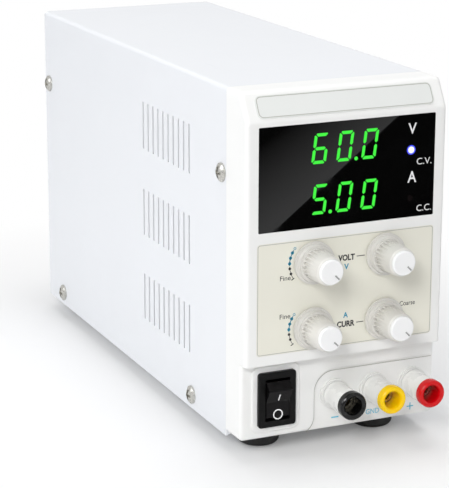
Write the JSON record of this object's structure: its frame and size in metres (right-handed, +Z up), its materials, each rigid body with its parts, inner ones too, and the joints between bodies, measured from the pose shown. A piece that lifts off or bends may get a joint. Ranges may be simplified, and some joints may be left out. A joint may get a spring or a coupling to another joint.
{
  "type": "bench power supply",
  "caption": "Slim upright bench power supply: folded metal case, display window, control knobs, rocker switch and screw-down output posts on the front.",
  "frame": {"origin": "under the middle of the outline, on the surface the feet stand on", "axes": "+X to the right seen from the front, +Y from the front to the rear, +Z up"},
  "size_m": [0.0838, 0.2336, 0.137],
  "materials": {
    "cover_paint": "cool white powder coat, slightly rough",
    "chassis_paint": "cool white powder coat",
    "frame_plastic": "fine grain white moulding",
    "strip_foil": "satin printed foil, bare",
    "window": "glossy dark filter",
    "overlay_foil": "satin printed foil",
    "screw_nickel": "nickel plated",
    "screw_steel": "zinc plated",
    "foot_rubber": "matt black rubber",
    "front_circuit": "green solder mask",
    "display_resin": "dark moulded displays",
    "lamp_resin": "tinted clear resin",
    "pot_metal": "stamped steel",
    "knob_plastic": "off-white moulding",
    "knob_cap_plastic": "bright white smooth",
    "shaft_metal": "turned",
    "collar_plastic": "pearl white moulding",
    "stud_metal": "nickel washed brass",
    "nut_metal": "bright",
    "tag_metal": "tinned",
    "barrel_plastic": "pearl white moulding",
    "cap_black": "glossy black",
    "cap_yellow": "glossy yellow",
    "cap_red": "glossy red",
    "insert_metal": "turned",
    "switch_black": "fine grain black",
    "rocker_black": "satin black",
    "tab_metal": "tinned",
    "fan_plastic": "black moulding",
    "rotor_plastic": "black moulding",
    "guard_wire": "bright wire",
    "inlet_plastic": "black moulding",
    "pin_metal": "nickel plated",
    "drawer_plastic": "black moulding",
    "fuse_glass": "clear tube with metal ends",
    "selector_plastic": "black moulding",
    "slider_red": "red moulding",
    "main_circuit": "green solder mask",
    "spacer_metal": "turned hexagon",
    "core_ferrite": "ground ferrite",
    "winding_tape": "yellow tape",
    "capacitor_sleeve": "dark sleeve",
    "choke_copper": "enamelled winding",
    "sink_metal": "extruded",
    "transistor_resin": "black epoxy",
    "lead_sleeve": "soft insulation"
  },
  "bodies": {
    "case": {"top_cover": "cover_paint", "chassis": "chassis_paint", "front_frame": "frame_plastic", "name_strip": "strip_foil", "display_window": "window", "control_overlay": "overlay_foil", "cover_screws": "screw_nickel", "small_screws": "screw_steel", "rubber_feet": "foot_rubber", "front_board": "front_circuit", "led_displays": "display_resin", "indicator_lamps": "lamp_resin", "potentiometers": "pot_metal", "post_collars": "collar_plastic", "post_studs": "stud_metal", "post_nuts": "nut_metal", "post_tags": "tag_metal", "switch_housing": "switch_black", "switch_tabs": "tab_metal", "fan_frame": "fan_plastic", "fan_guard": "guard_wire", "fan_screws": "screw_steel", "inlet_housing": "inlet_plastic", "inlet_pins": "pin_metal", "selector_body": "selector_plastic", "main_board": "main_circuit", "board_spacers": "spacer_metal", "transformer_core": "core_ferrite", "transformer_winding": "winding_tape", "capacitors": "capacitor_sleeve", "line_choke": "choke_copper", "heat_sinks": "sink_metal", "power_transistors": "transistor_resin", "internal_leads": "lead_sleeve"},
    "volt_fine_control": {"volt_fine_knob": "knob_plastic", "volt_fine_cap": "knob_cap_plastic", "volt_fine_shaft": "shaft_metal"},
    "volt_coarse_control": {"volt_coarse_knob": "knob_plastic", "volt_coarse_cap": "knob_cap_plastic", "volt_coarse_shaft": "shaft_metal"},
    "current_fine_control": {"current_fine_knob": "knob_plastic", "current_fine_cap": "knob_cap_plastic", "current_fine_shaft": "shaft_metal"},
    "current_coarse_control": {"current_coarse_knob": "knob_plastic", "current_coarse_cap": "knob_cap_plastic", "current_coarse_shaft": "shaft_metal"},
    "black_post_thread": {"black_post_insert": "insert_metal"},
    "black_post_grip": {"black_post_barrel": "barrel_plastic", "black_post_cap": "cap_black"},
    "yellow_post_thread": {"yellow_post_insert": "insert_metal"},
    "yellow_post_grip": {"yellow_post_barrel": "barrel_plastic", "yellow_post_cap": "cap_yellow"},
    "red_post_thread": {"red_post_insert": "insert_metal"},
    "red_post_grip": {"red_post_barrel": "barrel_plastic", "red_post_cap": "cap_red"},
    "rocker": {"switch_rocker": "rocker_black"},
    "fan_wheel": {"fan_rotor": "rotor_plastic"},
    "selector": {"selector_slider": "slider_red"},
    "drawer": {"fuse_drawer": "drawer_plastic", "glass_fuse": "fuse_glass"}
  },
  "joints": [
    {"name": "volt_fine_turn", "type": "hinge", "parent": "case", "child": "volt_fine_control", "pos_m": [-0.0134, -0.10185, 0.0743], "axis": [0, 1, 0], "range_deg": [-270, 0]},
    {"name": "volt_coarse_turn", "type": "hinge", "parent": "case", "child": "volt_coarse_control", "pos_m": [0.0156, -0.10185, 0.0743], "axis": [0, 1, 0], "range_deg": [-270, 0]},
    {"name": "current_fine_turn", "type": "hinge", "parent": "case", "child": "current_fine_control", "pos_m": [-0.0134, -0.10185, 0.0497], "axis": [0, 1, 0], "range_deg": [-270, 0]},
    {"name": "current_coarse_turn", "type": "hinge", "parent": "case", "child": "current_coarse_control", "pos_m": [0.0156, -0.10185, 0.0497], "axis": [0, 1, 0], "range_deg": [-270, 0]},
    {"name": "black_post_turn", "type": "hinge", "parent": "black_post_thread", "child": "black_post_grip", "pos_m": [-0.0015, -0.09665, 0.0212], "axis": [0, -1, 0], "range_deg": [0, 1800]},
    {"name": "black_post_travel", "type": "slide", "parent": "case", "child": "black_post_thread", "axis": [0, -1, 0], "range_m": [0, 0.004]},
    {"name": "yellow_post_turn", "type": "hinge", "parent": "yellow_post_thread", "child": "yellow_post_grip", "pos_m": [0.0148, -0.09665, 0.0212], "axis": [0, -1, 0], "range_deg": [0, 1800]},
    {"name": "yellow_post_travel", "type": "slide", "parent": "case", "child": "yellow_post_thread", "axis": [0, -1, 0], "range_m": [0, 0.004]},
    {"name": "red_post_turn", "type": "hinge", "parent": "red_post_thread", "child": "red_post_grip", "pos_m": [0.0311, -0.09665, 0.0212], "axis": [0, -1, 0], "range_deg": [0, 1800]},
    {"name": "red_post_travel", "type": "slide", "parent": "case", "child": "red_post_thread", "axis": [0, -1, 0], "range_m": [0, 0.004]},
    {"name": "rocker_tilt", "type": "hinge", "parent": "case", "child": "rocker", "pos_m": [-0.0261, -0.09675, 0.0234], "axis": [-1, 0, 0], "range_deg": [0, 28]},
    {"name": "fan_spin", "type": "hinge", "parent": "case", "child": "fan_wheel", "pos_m": [0, 0.11175, 0.1031], "axis": [0, 1, 0], "continuous": true},
    {"name": "selector_slide", "type": "slide", "parent": "case", "child": "selector", "axis": [1, 0, 0], "range_m": [0, 0.007]},
    {"name": "drawer_slide", "type": "slide", "parent": "case", "child": "drawer", "axis": [0, 1, 0], "range_m": [0, 0.022]}
  ],
  "couplings": [
    {"joint": "black_post_turn", "follows": "black_post_travel", "rad_per_m": 7854},
    {"joint": "yellow_post_turn", "follows": "yellow_post_travel", "rad_per_m": 7854},
    {"joint": "red_post_turn", "follows": "red_post_travel", "rad_per_m": 7854}
  ]
}
